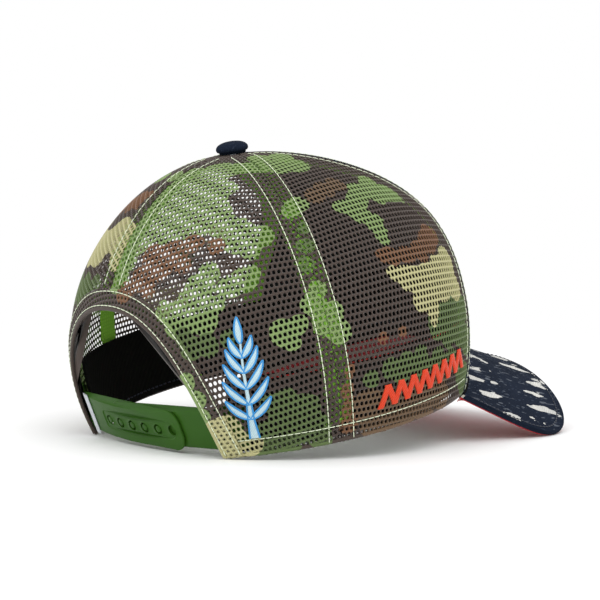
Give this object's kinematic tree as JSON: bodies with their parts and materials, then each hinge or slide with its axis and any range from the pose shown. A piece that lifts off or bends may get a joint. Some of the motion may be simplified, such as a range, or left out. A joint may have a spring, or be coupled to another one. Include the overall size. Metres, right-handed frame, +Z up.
{
  "type": "trucker mesh cap",
  "caption": "Five-panel cap with a stiff curved visor, camouflage net crown, arched rear opening and an adjustable snapback strap.",
  "frame": {"origin": "centre of the bounding box on the surface that the cap rests on, standing on the visor's two sides and the rim's two rear corners", "axes": "+Z up from that surface, -Y towards the visor's tip, +X towards the wearer's left; the rim leans back 11 degrees, front up"},
  "size_m": [0.1906, 0.2478, 0.1408],
  "materials": {
    "net": "matt knitted net",
    "denim": "matt woven",
    "backing": "matt stiffened",
    "tape": "satin ribbon",
    "binding": "matt folded net",
    "band": "matt twill",
    "red_twill": "matt twill",
    "board": "matt",
    "strap": "moulded, semi gloss",
    "label": "satin woven",
    "metal": "plain",
    "blue_thread": "satin thread",
    "orange_thread": "satin thread"
  },
  "bodies": {
    "cap_shell": {"front_panel": "denim", "front_panel_backing": "backing", "side_net_panel_right": "net", "side_net_panel_left": "net", "back_net_panel_right": "net", "back_net_panel_left": "net", "seam_tape_centre_back": "tape", "seam_tape_side_right": "tape", "seam_tape_side_left": "tape", "seam_tape_front_right": "tape", "seam_tape_front_left": "tape", "arch_binding": "binding", "arch_tape": "tape", "hem_fold_right": "binding", "hem_fold_left": "binding", "sweatband": "band", "visor_top_fabric": "denim", "visor_board": "board", "visor_under_fabric": "red_twill", "top_button": "denim", "top_button_rivet": "metal", "strap_anchor_left": "strap", "strap_anchor_right": "strap", "sprig_embroidery": "blue_thread", "zigzag_embroidery": "orange_thread"},
    "outer_strap": {"strap_outer": "strap", "strap_label": "label"},
    "inner_strap": {"strap_inner": "strap"}
  },
  "joints": [
    {"name": "outer_strap_bend", "type": "hinge", "parent": "cap_shell", "child": "outer_strap", "pos_m": [0.049, 0.09941, 0.01257], "axis": [0, -0.4091, -0.9125], "range_deg": [0, 30]},
    {"name": "inner_strap_bend", "type": "hinge", "parent": "cap_shell", "child": "inner_strap", "pos_m": [-0.04827, 0.09808, 0.01316], "axis": [0, -0.4091, -0.9125], "range_deg": [0, 40]}
  ]
}
